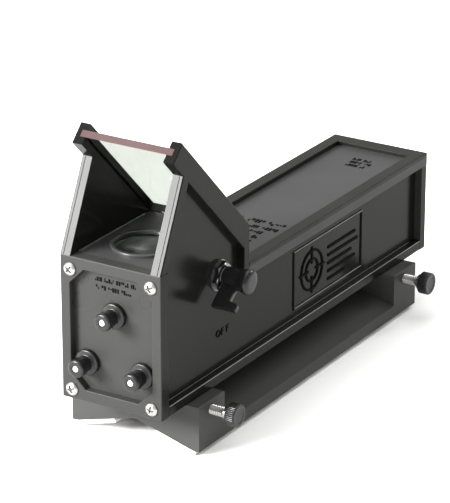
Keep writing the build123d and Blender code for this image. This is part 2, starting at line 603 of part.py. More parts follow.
sight_nodes = set(parts)
for name in sight_nodes:
    parts[name] = SEAT_TO_SIGHT * parts[name]


# ---- base, drawn in the row frame ----
base_half = BASE_WIDTH / 2
slope = tan(radians(SADDLE_SLOPE))
rim_inner = (SADDLE_APEX - RIM_BOTTOM) / slope
saddle = [(-base_half, RIM_BOTTOM), (-rim_inner, RIM_BOTTOM), (0, SADDLE_APEX),
          (rim_inner, RIM_BOTTOM), (base_half, RIM_BOTTOM)]
span_edge = SPAN_RIDGE - base_half * slope
span_top = [(base_half, span_edge), (0, SPAN_RIDGE), (-base_half, span_edge)]
end_y = BASE_LENGTH / 2
base = prism_y(saddle + span_top, -end_y + BLOCK_LENGTH, end_y - BLOCK_LENGTH)
clamp_z = BASE_HEIGHT - CLAMP_DROP
for sign in (-1, 1):
    y0, y1 = sorted((sign * end_y, sign * (end_y - BLOCK_LENGTH)))
    seat = prism_y(saddle + [(base_half, BASE_HEIGHT), (-base_half, BASE_HEIGHT)], y0, y1)
    seat = fillet(edges_at(seat, Axis.Z, BASE_HEIGHT), EDGE_ROUND)
    base += seat
for sign in (-1, 1):
    mid = sign * BLOCK_MID
    base -= block(SIGHT_SHIFT - FOOT_WIDTH / 2 - FOOT_GAP, SIGHT_SHIFT + FOOT_WIDTH / 2 + FOOT_GAP,
                  mid - FOOT_LENGTH / 2 - FOOT_GAP, mid + FOOT_LENGTH / 2 + FOOT_GAP,
                  BASE_HEIGHT - FOOT_DEPTH - FOOT_GAP, BASE_HEIGHT + 1)
    base -= rod_x(mid, clamp_z, CLAMP_R + RUNNING, SIGHT_SHIFT, base_half + 1)
parts["base_bracket"] = base

lean = radians(SADDLE_SLOPE)
foam_outer = (SADDLE_APEX - FOAM_T * cos(lean)) / slope
drop = (-FOAM_T * sin(lean), -FOAM_T * cos(lean))
foam = [(FOAM_INNER, SADDLE_APEX - FOAM_INNER * slope), (foam_outer, SADDLE_APEX - foam_outer * slope)]
foam += [(x + drop[0], z + drop[1]) for x, z in reversed(foam)]
strip = prism_y(foam, -end_y, end_y)
parts["foam_strip_right"] = strip
parts["foam_strip_left"] = mirrored(strip)


# ---- thumb screws that clamp the sight's feet ----
tip = SIGHT_SHIFT + FOOT_WIDTH / 2 + 0.02
collar_end = base_half + CLAMP_EXPOSED + COLLAR_T
knob_end = collar_end + CLAMP_KNOB_T


def clamp_knob():
    """A knurled head: a round blank with a flute cut at every step round its rim."""
    knob = turned([(CLAMP_R, 0), (CLAMP_KNOB_R - 0.5, 0), (CLAMP_KNOB_R, 0.5),
                   (CLAMP_KNOB_R, CLAMP_KNOB_T - 0.5), (CLAMP_KNOB_R - 0.5, CLAMP_KNOB_T),
                   (CLAMP_R, CLAMP_KNOB_T)], Pos(0, 0, 0))
    for i in range(CLAMP_FLUTES):
        knob -= Rot(0, 0, 360 * i / CLAMP_FLUTES) * Pos(CLAMP_KNOB_R + 0.2, 0, CLAMP_KNOB_T / 2) \
            * Cylinder(0.5, CLAMP_KNOB_T + 1)
    return knob


for name, sign in (("near", -1), ("far", 1)):
    mid = sign * BLOCK_MID
    parts[f"clamp_screw_{name}"] = turned(
        [(0, tip), (CLAMP_R - 0.6, tip), (CLAMP_R, tip + 0.8), (CLAMP_R, knob_end - 0.6),
         (CLAMP_R - 0.3, knob_end - 0.3), (0, knob_end - 0.3)], along_x(0, mid, clamp_z))
    parts[f"clamp_collar_{name}"] = rod_x(mid, clamp_z, COLLAR_R, collar_end - COLLAR_T, collar_end) \
        - rod_x(mid, clamp_z, CLAMP_R + RUNNING, 0, knob_end)
    parts[f"clamp_knob_{name}"] = along_x(collar_end, mid, clamp_z) * clamp_knob()


os.makedirs("parts", exist_ok=True)
for name, shape in parts.items():
    export_step(shape, f"parts/{name}.step")
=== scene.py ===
import math

import bmesh
import bpy
import numpy as np
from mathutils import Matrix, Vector


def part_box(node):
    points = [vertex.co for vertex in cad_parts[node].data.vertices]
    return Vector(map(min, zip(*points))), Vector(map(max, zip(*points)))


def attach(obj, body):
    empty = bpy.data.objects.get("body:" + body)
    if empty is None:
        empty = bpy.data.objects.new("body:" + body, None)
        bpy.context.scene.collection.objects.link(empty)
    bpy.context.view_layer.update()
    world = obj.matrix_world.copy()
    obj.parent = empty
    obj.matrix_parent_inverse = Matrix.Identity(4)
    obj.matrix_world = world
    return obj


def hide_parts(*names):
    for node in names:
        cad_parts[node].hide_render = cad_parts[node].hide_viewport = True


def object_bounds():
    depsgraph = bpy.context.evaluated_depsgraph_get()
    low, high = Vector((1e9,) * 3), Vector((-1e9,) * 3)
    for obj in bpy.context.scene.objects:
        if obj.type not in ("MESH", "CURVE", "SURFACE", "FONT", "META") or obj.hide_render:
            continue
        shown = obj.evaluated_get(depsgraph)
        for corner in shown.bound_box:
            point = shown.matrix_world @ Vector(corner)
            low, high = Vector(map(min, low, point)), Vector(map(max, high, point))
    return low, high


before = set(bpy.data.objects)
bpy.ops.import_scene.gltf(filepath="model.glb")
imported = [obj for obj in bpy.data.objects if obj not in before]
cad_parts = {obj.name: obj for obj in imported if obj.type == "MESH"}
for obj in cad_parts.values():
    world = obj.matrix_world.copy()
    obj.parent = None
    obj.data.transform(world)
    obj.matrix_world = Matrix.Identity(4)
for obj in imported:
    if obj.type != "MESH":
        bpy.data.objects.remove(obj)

cad_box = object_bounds()
MM = 0.001

# ---------------------------------------------------------------------------------------------
# Camera. A long lens a little over a metre away looks down on the user's end and the right side,
# level with the horizon, so that the whole finder stands in an upright picture.
# ---------------------------------------------------------------------------------------------
VIEW_AZIMUTH = math.radians(31.725)
VIEW_ELEVATION = math.radians(21.92)
VIEW_DISTANCE = 1.1563
VIEW_LENS = 215.46                    # mm, on a sensor 36 mm high
AIM_OFFSET = Vector((-0.00073, -0.02618, -0.00342))   # from the middle of the CAD box

view_back = Vector((math.sin(VIEW_AZIMUTH) * math.cos(VIEW_ELEVATION),
                    -math.cos(VIEW_AZIMUTH) * math.cos(VIEW_ELEVATION),
                    math.sin(VIEW_ELEVATION)))
view_aim = (cad_box[0] + cad_box[1]) / 2 + AIM_OFFSET

camera = bpy.data.objects.new("camera", bpy.data.cameras.new("camera"))
camera.data.sensor_width = 36.0
camera.data.lens = VIEW_LENS
camera.data.clip_start, camera.data.clip_end = 0.05, 20.0
camera.location = view_aim + view_back * VIEW_DISTANCE
camera.rotation_mode = "QUATERNION"
camera.rotation_quaternion = (-view_back).to_track_quat("-Z", "Y")
bpy.context.scene.collection.objects.link(camera)
bpy.context.scene.camera = camera

# ---------------------------------------------------------------------------------------------
# Studio light. A white tent that darkens towards the right, a broad soft panel overhead, a bright
# panel in front on the left, which the leaning wing edges mirror as pale strips, and a small hard
# one behind on the right, which draws thin bright lines along the rounded edges.
# ---------------------------------------------------------------------------------------------
TENT_BRIGHT, TENT_DIM = 1.0, 0.5     # radiance of the tent on the left and on the right
TENT_SIDE = (-0.75, -0.45, 0.5)       # direction of its brightest part
TENT_FADE = (-0.7, 0.5)               # cosine to that direction where it is dim, and where bright
LIGHTS_AIM = (0, 0, 60 * MM)
OVERHEAD_W = 17.0
KEY_W = 33.0
RIM_W = 3.0
TONE_GAMMA = 0.89                     # below 1 darkens the middle tones and keeps white


def light_panel(name, toward, distance, width, height, power):
    """A rectangular lamp placed along a direction from the finder and turned to face it."""
    lamp = bpy.data.lights.new(name, "AREA")
    lamp.shape = "RECTANGLE"
    lamp.size, lamp.size_y = width, height
    lamp.energy = power
    panel = bpy.data.objects.new(name, lamp)
    direction = Vector(toward).normalized()
    panel.location = Vector(LIGHTS_AIM) + direction * distance
    panel.rotation_mode = "QUATERNION"
    panel.rotation_quaternion = direction.to_track_quat("Z", "Y")
    bpy.context.scene.collection.objects.link(panel)


light_panel("overhead_panel", (-0.15, 0.1, 1.0), 1.3, 1.5, 1.5, OVERHEAD_W)
light_panel("key_panel", (-0.488, -0.792, 0.367), 1.1, 0.5, 0.34, KEY_W)
light_panel("rim_panel", (0.373, 0.789, 0.488), 1.1, 0.2, 0.3, RIM_W)

tent = bpy.data.worlds.new("light_tent")
tent.use_nodes = True
nodes, links = tent.node_tree.nodes, tent.node_tree.links
background = nodes["Background"]
ray = nodes.new("ShaderNodeTexCoord")
toward_bright = nodes.new("ShaderNodeVectorMath")
toward_bright.operation = "DOT_PRODUCT"
toward_bright.inputs[1].default_value = Vector(TENT_SIDE).normalized()
strength = nodes.new("ShaderNodeMapRange")
strength.interpolation_type = "SMOOTHSTEP"
strength.inputs["From Min"].default_value, strength.inputs["From Max"].default_value = TENT_FADE
strength.inputs["To Min"].default_value = TENT_DIM
strength.inputs["To Max"].default_value = TENT_BRIGHT
links.new(ray.outputs["Generated"], toward_bright.inputs[0])
links.new(toward_bright.outputs["Value"], strength.inputs["Value"])
links.new(strength.outputs["Result"], background.inputs["Strength"])
background.inputs["Color"].default_value = (1, 1, 1, 1)
bpy.context.scene.world = tent
bpy.context.scene.view_settings.view_transform = "Standard"
bpy.context.scene.view_settings.gamma = TONE_GAMMA


# ---------------------------------------------------------------------------------------------
# Floor. A wide plain sheet of matt pale board that the finder stands on. It is not part of the
# finder.
# ---------------------------------------------------------------------------------------------
def new_material(name, **constants):
    """A material and its Principled BSDF, with the shader's constants given by name."""
    material = bpy.data.materials.new(name)
    material.use_nodes = True
    shader = material.node_tree.nodes["Principled BSDF"]
    for key, value in constants.items():
        shader.inputs[key.replace("_", " ")].default_value = value
    return material


def surface(name, points, faces, material, sharp_above=35):
    """A mesh object at the origin from points and faces: coincident points are merged, faces
    turned outwards, and edges sharper than an angle in degrees kept crisp."""
    mesh = bpy.data.meshes.new(name)
    mesh.from_pydata(np.asarray(points, float).reshape(-1, 3).tolist(), [], [list(f) for f in faces])
    work = bmesh.new()
    work.from_mesh(mesh)
    bmesh.ops.remove_doubles(work, verts=work.verts, dist=1e-7)
    bmesh.ops.recalc_face_normals(work, faces=work.faces)
    work.to_mesh(mesh)
    work.free()
    mesh.polygons.foreach_set("use_smooth", np.ones(len(mesh.polygons), bool))
    mesh.set_sharp_from_angle(angle=math.radians(sharp_above))
    mesh.materials.append(material)
    piece = bpy.data.objects.new(name, mesh)
    bpy.context.scene.collection.objects.link(piece)
    return piece


FLOOR_HALF = 3.0

pale_board = new_material("pale_board", Base_Color=(0.9, 0.9, 0.895, 1), Roughness=0.95)
floor = surface("floor", [(-FLOOR_HALF, -FLOOR_HALF, 0), (FLOOR_HALF, -FLOOR_HALF, 0),
                          (FLOOR_HALF, FLOOR_HALF, 0), (-FLOOR_HALF, FLOOR_HALF, 0)],
                [(0, 1, 2, 3)], pale_board)


# ---------------------------------------------------------------------------------------------
# Base bracket. One black ABS moulding: a ridged span under the sight and a block at each end, with
# a V underneath that straddles a telescope tube.
# ---------------------------------------------------------------------------------------------
def add_group(name, inputs, outputs):
    """An empty shader node group with its sockets, as (tree, input node, output node)."""
    tree = bpy.data.node_groups.new(name, "ShaderNodeTree")
    for socket, value in inputs.items():
        made = tree.interface.new_socket(socket, in_out="INPUT", socket_type="NodeSocketFloat")
        made.default_value = value
    for socket, kind in outputs.items():
        tree.interface.new_socket(socket, in_out="OUTPUT", socket_type=f"NodeSocket{kind}")
    return tree, tree.nodes.new("NodeGroupInput"), tree.nodes.new("NodeGroupOutput")


GRAIN_SCALE, GRAIN_HEIGHT, PATCH_SCALE = 2600.0, 0.03 * MM, 45.0


def moulded_skin():
    """The skin of a moulding: a fine grain as a bumped normal, and a roughness that drifts with
    handling in patches a few centimetres across."""
    tree, given, made = add_group("moulded_skin", {"Roughness": 0.3, "Drift": 0.2, "Grain": 0.1},
                                  {"Roughness": "Float", "Normal": "Vector"})
    node, link = tree.nodes.new, tree.links.new
    place = node("ShaderNodeTexCoord")
    grain = node("ShaderNodeTexNoise")
    grain.inputs["Scale"].default_value = GRAIN_SCALE
    grain.inputs["Detail"].default_value = 2.0
    bump = node("ShaderNodeBump")
    bump.inputs["Distance"].default_value = GRAIN_HEIGHT
    patches = node("ShaderNodeTexNoise")
    patches.inputs["Scale"].default_value = PATCH_SCALE
    patches.inputs["Detail"].default_value = 3.0
    centred = node("ShaderNodeMath")
    centred.operation = "SUBTRACT"
    centred.inputs[1].default_value = 0.5
    spread = node("ShaderNodeMath")
    spread.operation = "MULTIPLY"
    total = node("ShaderNodeMath")
    total.operation = "ADD"
    total.use_clamp = True
    link(place.outputs["Object"], grain.inputs["Vector"])
    link(place.outputs["Object"], patches.inputs["Vector"])
    link(grain.outputs["Fac"], bump.inputs["Height"])
    link(given.outputs["Grain"], bump.inputs["Strength"])
    link(patches.outputs["Fac"], centred.inputs[0])
    link(centred.outputs[0], spread.inputs[0])
    link(given.outputs["Drift"], spread.inputs[1])
    link(spread.outputs[0], total.inputs[0])
    link(given.outputs["Roughness"], total.inputs[1])
    link(total.outputs[0], made.inputs["Roughness"])
    link(bump.outputs["Normal"], made.inputs["Normal"])
    return tree


skin_group = moulded_skin()


def moulded(name, colour, roughness, ior=1.4, drift=0.2, grain=0.1):
    """A moulded plastic whose roughness and normal come from the skin group."""
    material = new_material(name, Base_Color=(*colour, 1), IOR=ior)
    tree = material.node_tree
    skin = tree.nodes.new("ShaderNodeGroup")
    skin.node_tree = skin_group
    skin.inputs["Roughness"].default_value = roughness
    skin.inputs["Drift"].default_value = drift
    skin.inputs["Grain"].default_value = grain
    shader = tree.nodes["Principled BSDF"]
    tree.links.new(skin.outputs["Roughness"], shader.inputs["Roughness"])
    tree.links.new(skin.outputs["Normal"], shader.inputs["Normal"])
    return material


def dress(material, *names):
    """Gives CAD nodes their material."""
    for name in names:
        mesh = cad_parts[name].data
        mesh.materials.clear()
        mesh.materials.append(material)


base_abs = moulded("base_abs", (0.066, 0.066, 0.064), 0.4, ior=1.2)
dress(base_abs, "base_bracket")

# ---------------------------------------------------------------------------------------------
# Foam strips. Double-sided tape of white closed-cell foam on the two sloping faces under the base,
# cut with slightly rounded, uneven edges, which sticks the base to the tube.
# ---------------------------------------------------------------------------------------------
FOAM_ROWS = 170
FOAM_T = 1.65 * MM
FOAM_LEAN = 0.94                      # slope of the strip, of that of its box's diagonal
FOAM_IN = 0.44 * MM                   # from its box's inner side to its top corner
FOAM_WAVES = (410, 1130, 2300)        # of the ripple, radians per metre
FOAM_EDGE = 0.5 * MM
FOAM_RIPPLE = 0.06 * MM

foam_white = moulded("foam_white", (0.82, 0.81, 0.78), 0.85, drift=0.1, grain=0.9)


def rounded(corners, radius, steps=6, closed=False):
    """An outline whose corners become quadratic curves that begin and end one radius away from the
    corner. radius is one number or one for each corner that is rounded."""
    corners = np.asarray(corners, float)
    if closed:
        corners = np.concatenate([corners[-1:], corners, corners[:1]])
    t = np.linspace(0, 1, steps)[:, None]
    curves = []
    for before, at, after, r in zip(corners, corners[1:], corners[2:],
                                    np.broadcast_to(radius, len(corners) - 2)):
        start = at + (before - at) / np.linalg.norm(before - at) * r
        end = at + (after - at) / np.linalg.norm(after - at) * r
        curves.append((1 - t) ** 2 * start + 2 * t * (1 - t) * at + t ** 2 * end)
    ends = [] if closed else [corners[:1], corners[-1:]]
    return np.concatenate(ends[:1] + curves + ends[1:])


def grid_faces(rows, columns, wrap=True):
    """Quads of a grid of points, row after row, joined round along the columns where it wraps."""
    index = np.arange(rows * columns).reshape(rows, columns)
    along = np.roll(index, -1, axis=1)
    quads = np.stack([index[:-1], along[:-1], along[1:], index[1:]], axis=-1)
    return (quads if wrap else quads[:, :-1]).reshape(-1, 4).tolist()


def foam_strip(node, side):
    """A slab whose cross-section is the node's own slanted rectangle with rounded corners, carried
    along Y. Each row is drawn in by a small ripple, a sum of three sines along Y."""
    low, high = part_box(node)
    inner, outer = (low.x, high.x) if side > 0 else (high.x, low.x)
    lean = math.atan2(high.z - low.z, high.x - low.x) * FOAM_LEAN
    across = Vector((side * math.cos(lean), -math.sin(lean)))
    through = Vector((-side * math.sin(lean), -math.cos(lean))) * FOAM_T
    top_inner = Vector((inner + FOAM_IN * side, high.z))
    top_outer = Vector((outer, low.z)) - through
    section = rounded([top_inner, top_outer, top_outer + through, top_inner + through],
                      FOAM_EDGE, 5, closed=True)
    y = np.linspace(low.y, high.y, FOAM_ROWS)
    waves = np.outer(FOAM_WAVES, y) + np.array([[0.0], [1.3], [side]])
    inset = 1 - (1 + np.sin(waves).mean(axis=0)) / 2 * FOAM_RIPPLE / FOAM_T
    middle = section.mean(axis=0)
    rows = middle + (section - middle) * inset[:, None, None]
    points = np.empty((FOAM_ROWS, len(section), 3))
    points[..., 0], points[..., 2] = rows[..., 0], rows[..., 1]
    points[..., 1] = y[:, None]
    count = len(section)
    caps = [list(range(count)), list(range((FOAM_ROWS - 1) * count, FOAM_ROWS * count))]
    strip = surface(node + "_foam", points, grid_faces(FOAM_ROWS, count) + caps, foam_white, 60)
    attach(strip, "base")
    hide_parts(node)


foam_strip("foam_strip_right", 1)
foam_strip("foam_strip_left", -1)


# ---------------------------------------------------------------------------------------------
# Thumb screws. Nickel-plated steel screws with a fine thread, each with a thin collar and a
# knurled black plastic head pressed on; they bear on the sight's feet through the blocks.
# ---------------------------------------------------------------------------------------------
THREAD_PITCH = 25.4 / 32 * MM
THREAD_DEPTH = 0.36 * MM
THREAD_ROWS_PER_TURN = 10
THREAD_LEAD = 0.8 * MM                # over which it fades out at either end
KNURL_COUNT = 34
KNURL_DEPTH = 0.17 * MM


def plated(name, colour, roughness, drift=0.12):
    """A bright plated metal, with roughness that drifts a little."""
    material = moulded(name, colour, roughness, drift=drift, grain=0.0)
    material.node_tree.nodes["Principled BSDF"].inputs["Metallic"].default_value = 1.0
    return material


def spun(name, centre, along, profile, material, columns=96, sharp_above=35, cut=None):
    """A surface of revolution: profile rows of (distance along the axis, radius) carried round the
    axis. cut(distance, angle, radius) may return a changed radius for every point."""
    profile = np.asarray(profile, float)
    angle = np.linspace(0, 2 * np.pi, columns, endpoint=False)
    distance = np.repeat(profile[:, :1], columns, axis=1)
    radius = np.repeat(profile[:, 1:], columns, axis=1)
    if cut is not None:
        radius = cut(distance, angle[None, :], radius)
    axis = Vector(along).normalized()
    side = Vector((0, 0, 1)).cross(axis).normalized()
    up = axis.cross(side)
    points = (np.array(centre) + distance[..., None] * np.array(axis)
              + (radius * np.cos(angle))[..., None] * np.array(side)
              + (radius * np.sin(angle))[..., None] * np.array(up))
    return surface(name, points, grid_faces(len(profile), columns), material, sharp_above)


nickel = plated("bright_nickel", (0.44, 0.43, 0.41), 0.34)
thread_steel = plated("thread_steel", (0.36, 0.35, 0.34), 0.25)
knob_black = moulded("knob_black", (0.015, 0.015, 0.015), 0.27, ior=1.45)


def threaded_rod(name, centre, along, length, radius, pitch, depth, lead):
    """A screw: radius less a triangle wave of the thread's depth that climbs one pitch each turn,
    fading out over the lead at either end, with both ends closed by a small cone."""
    rows = int(length / pitch * THREAD_ROWS_PER_TURN)
    distance = np.linspace(0, length, rows)
    body = np.stack([distance, np.full(rows, radius)], axis=1)
    profile = np.concatenate([[(0, 0), (0, radius - depth)], body[1:-1],
                              [(length, radius - depth), (length, 0)]])

    def cut(s, angle, r):
        phase = (s / pitch - angle / (2 * np.pi)) % 1.0
        fade = np.clip(np.minimum(s, length - s) / lead, 0, 1)
        wave = np.abs(2 * phase - 1)
        end = depth * (1 - fade)
        return np.where(r > radius - depth / 2, r - np.maximum(depth * wave, end), r)

    return spun(name, centre, along, profile, thread_steel, 48, 50, cut)


for place in ("near", "far"):
    rod_low, rod_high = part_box(f"clamp_screw_{place}")
    axis_y, axis_z = (rod_low.y + rod_high.y) / 2, (rod_low.z + rod_high.z) / 2
    rod = threaded_rod(f"thumb_screw_{place}", (rod_low.x, axis_y, axis_z), (1, 0, 0),
                       rod_high.x - rod_low.x, (rod_high.z - rod_low.z) / 2,
                       THREAD_PITCH, THREAD_DEPTH, THREAD_LEAD)
    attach(rod, f"{place}_clamp")
    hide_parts(f"clamp_screw_{place}")
    head_low, head_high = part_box(f"clamp_knob_{place}")
    head_t, head_r = head_high.x - head_low.x, (head_high.z - head_low.z) / 2
    head_profile = rounded([(0, 0), (0, head_r), (head_t, head_r), (head_t, head_r * 0.7),
                            (head_t * 0.95, head_r * 0.62), (head_t * 0.95, 0)],
                           [0.45 * MM, 0.6 * MM, 0.3 * MM, 0.2 * MM])

    def knurl(s, angle, r):
        """The rim's radius is drawn in by the size of a cosine, a groove at each of its zeros."""
        rim = np.clip((r - 0.86 * head_r) / (0.12 * head_r), 0, 1)
        return r - KNURL_DEPTH * rim * (1 - np.abs(np.cos(KNURL_COUNT * angle / 2)))

    head = spun(f"thumb_head_{place}", (head_low.x, axis_y, axis_z), (1, 0, 0), head_profile,
                knob_black, KNURL_COUNT * 8, 50, knurl)
    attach(head, f"{place}_clamp")
    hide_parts(f"clamp_knob_{place}")
dress(thread_steel, "clamp_collar_near", "clamp_collar_far")

# ---------------------------------------------------------------------------------------------
# End panels and floor of the sight. Flat ABS mouldings; the user's panel has a sunk field with
# faint rings left by the mould's ejector pins and two rows of small raised marks. Its faces are
# dull and its side edges polished like the shells.
# ---------------------------------------------------------------------------------------------
PANEL_DULL, POLISHED = (0.045, 0.045, 0.044), (0.011, 0.011, 0.0097)
SUNK = 3.0 * MM                       # depth of the user's panel's field
EJECTOR_R, EJECTOR_RIB, EJECTOR_RISE = 2.5 * MM, 0.12 * MM, 0.05 * MM
MARK_RISE = 0.22 * MM

panel_abs = moulded("panel_abs", PANEL_DULL, 0.3, ior=1.22)
shell_abs = moulded("shell_abs", POLISHED, 0.19, ior=1.215)
mark_abs = moulded("mark_abs", (0.003, 0.003, 0.003), 0.55, ior=1.12)
dress(panel_abs, "user_panel", "far_panel")
dress(shell_abs, "floor_panel")

panel_low, panel_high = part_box("user_panel")
centre_x = (panel_low.x + panel_high.x) / 2


def two_finishes(material, axis, centre, limit, within, beyond):
    """One colour where a coordinate is no further from centre than limit, another beyond it."""
    tree = material.node_tree
    place = tree.nodes.new("ShaderNodeSeparateXYZ")
    tree.links.new(tree.nodes.new("ShaderNodeTexCoord").outputs["Object"], place.inputs[0])
    value = place.outputs[axis]
    for operation, second in (("SUBTRACT", centre), ("ABSOLUTE", 0.0), ("GREATER_THAN", limit)):
        step = tree.nodes.new("ShaderNodeMath")
        step.operation = operation
        step.inputs[1].default_value = second
        tree.links.new(value, step.inputs[0])
        value = step.outputs[0]
    finish = tree.nodes.new("ShaderNodeMix")
    finish.data_type = "RGBA"
    finish.inputs["A"].default_value, finish.inputs["B"].default_value = (*within, 1), (*beyond, 1)
    tree.links.new(value, finish.inputs["Factor"])
    tree.links.new(finish.outputs["Result"], tree.nodes["Principled BSDF"].inputs["Base Color"])


two_finishes(panel_abs, "X", centre_x, (panel_high.x - panel_low.x) / 2 - 0.02 * MM, PANEL_DULL, POLISHED)
field_y = panel_low.y + SUNK


def raised_marks(name, origin, right, up, boxes, rise, material, body):
    """Small raised blocks on a flat face, each (left, bottom, width, height) in mm from the origin
    along right and up, with the top drawn in on every side by a third of the rise."""
    right, up = Vector(right).normalized(), Vector(up).normalized()
    out = right.cross(up)
    basis = np.array([right, up, out])
    left, bottom, width, height = (np.asarray(boxes, float) * MM).T[..., None]
    corner_u = np.array([0, 1, 1, 0, 0, 1, 1, 0])
    corner_v = np.array([0, 0, 1, 1, 0, 0, 1, 1])
    top = np.array([0, 0, 0, 0, 1, 1, 1, 1])
    draw = rise / 3 * top
    local = np.stack([left + corner_u * width + draw * (1 - 2 * corner_u),
                      bottom + corner_v * height + draw * (1 - 2 * corner_v),
                      np.broadcast_to((top - 0.1) * rise, left.shape[:1] + (8,))], axis=-1)
    points = np.array(origin) + local @ basis
    cube = np.array([(0, 3, 2, 1), (4, 5, 6, 7), (0, 1, 5, 4), (1, 2, 6, 5), (2, 3, 7, 6), (3, 0, 4, 7)])
    faces = (cube[None] + 8 * np.arange(len(points))[:, None, None]).reshape(-1, 4).tolist()
    marks = surface(name, points, faces, material, 10)
    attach(marks, body)
    return marks


def word_rows(seed, left, right, rows, height):
    """Rows of generic upright marks grouped like words: a list of boxes for raised_marks. rows are
    the bottoms of the rows, and left and right are where they may begin and end."""
    pick = np.random.default_rng(seed)
    boxes = []
    for row, bottom in enumerate(rows):
        x = left + pick.uniform(0, 0.08) * (right - left) * (row > 0)
        end = right - pick.uniform(0, 0.25) * (right - left) * (row > 0)
        while x < end - height * 0.5:
            for _ in range(pick.integers(2, 7)):
                width = height * pick.uniform(0.16, 0.5)
                low = bottom + height * pick.choice([0, 0, 0, 0.45])
                tall = height * (1 if low == bottom else 0.55) * pick.choice([1, 1, 0.45])
                if x + width > end:
                    break
                boxes.append((x, low, width, tall))
                x += width + height * 0.17
            x += height * 0.5
    return boxes


raised_marks("user_panel_marks", (centre_x, field_y, panel_low.z), (1, 0, 0), (0, 0, 1),
             word_rows(5, -8.5, 9.4, (48.6, 45.4), 1.7), MARK_RISE, mark_abs, "sight")
for number, (x, z) in enumerate([(-14.2, 48.6), (14.2, 10.6), (-9.5, 8.5), (13.2, 44.6)]):
    ring_profile = [(0.1 * MM, EJECTOR_R), (-EJECTOR_RISE, EJECTOR_R + 0.02 * MM),
                    (-EJECTOR_RISE, EJECTOR_R + EJECTOR_RIB), (0.1 * MM, EJECTOR_R + 1.2 * EJECTOR_RIB)]
    mould_ring = spun(f"ejector_ring_{number}", (centre_x + x * MM, field_y, panel_low.z + z * MM),
                      (0, 1, 0), ring_profile + ring_profile[:1], panel_abs, 64)
    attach(mould_ring, "sight")

# ---------------------------------------------------------------------------------------------
# Panel screws. Nickel-plated pan-head thread-forming screws with a cross recess, four through each
# end panel into the bosses of the side shells.
# ---------------------------------------------------------------------------------------------
HEAD_R, HEAD_T = 2.65 * MM, 1.5 * MM
SHANK_R, SHANK_TIP = 1.2 * MM, 1.4 * MM
CROSS_HALF, CROSS_REACH, CROSS_DEPTH = 0.34 * MM, 1.5 * MM, 0.95 * MM
CROSS_TURNS = (0.35, 0.54)            # radians, of the first cross and of each next one from it
RIM_STEEP = 0.42 * MM                 # height of the head's rim
HEAD_COLUMNS = 96

dark_recess = moulded("recess_shadow", (0.13, 0.13, 0.125), 0.6)


def panel_screws(node, inward):
    """One screw at each head of a node. The head's dome is a quarter ellipse in section, sunk by a
    cross that is the product of smooth steps across and along each of its two slots."""
    low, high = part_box(node)
    seat = low.y + HEAD_T if inward > 0 else high.y - HEAD_T
    length = high.y - low.y - HEAD_T
    t = np.linspace(0, 1, 15)
    dome = np.stack([-HEAD_T * np.sqrt(1 - (0.93 * t) ** 2), HEAD_R * 0.93 * t], axis=1)[:-1]
    dense = np.linspace(0, 1.75 * MM, 26)
    dome_dense = np.stack([-HEAD_T * np.sqrt(1 - (dense / HEAD_R) ** 2), dense], axis=1)
    outer = dome[dome[:, 1] > 1.8 * MM]
    rim = rounded([outer[-1], (-RIM_STEEP, HEAD_R), (0, HEAD_R), (0, SHANK_R)],
                  [0.3 * MM, 0.12 * MM], 4)
    shank = [(length - SHANK_TIP, SHANK_R), (length, 0.3 * MM), (length, 0)]
    profile = np.concatenate([dome_dense, outer[:-1], rim, shank])
    places = [(x, z) for x in (low.x + HEAD_R, high.x - HEAD_R) for z in (low.z + HEAD_R, high.z - HEAD_R)]
    for number, (x, z) in enumerate(places):
        screw = spun(f"{node}_{number}", (x, seat, z), (0, inward, 0), profile, nickel,
                     HEAD_COLUMNS, 50)
        turn = CROSS_TURNS[0] + CROSS_TURNS[1] * number
        at = np.empty(len(screw.data.vertices) * 3)
        screw.data.vertices.foreach_get("co", at)
        at = at.reshape(-1, 3)
        u = (at[:, 0] - x) * math.cos(turn) + (at[:, 2] - z) * math.sin(turn)
        v = (at[:, 2] - z) * math.cos(turn) - (at[:, 0] - x) * math.sin(turn)
        deep = np.zeros(len(at))
        for across, along in ((u, v), (v, u)):
            wall = np.clip((CROSS_HALF - np.abs(across)) / (0.14 * MM) + 0.5, 0, 1)
            end = np.clip((CROSS_REACH - np.abs(along)) / (0.35 * MM) + 0.5, 0, 1)
            deep = np.maximum(deep, wall * end)
        on_head = (at[:, 1] - seat) * inward < -0.3 * MM
        at[:, 1] += inward * CROSS_DEPTH * deep * on_head * (1 - 0.45 * np.hypot(u, v) / CROSS_REACH)
        screw.data.vertices.foreach_set("co", at.ravel())
        screw.data.update()
        screw.data.materials.append(dark_recess)
        centres = np.empty(len(screw.data.polygons) * 3)
        screw.data.polygons.foreach_get("center", centres)
        centres = centres.reshape(-1, 3)
        radial = np.hypot(centres[:, 0] - x, centres[:, 2] - z)
        behind = (centres[:, 1] - seat) * inward
        depth = behind + HEAD_T * np.sqrt(np.clip(1 - (radial / HEAD_R) ** 2, 0, 1))
        sunk_in = (depth > 0.22 * MM) & (radial < CROSS_REACH + 0.2 * MM) & (behind < 0)
        screw.data.polygons.foreach_set("material_index", sunk_in.astype(np.int32))
        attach(screw, "sight")
        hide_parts(node)


panel_screws("user_panel_screws", 1)
panel_screws("far_panel_screws", -1)

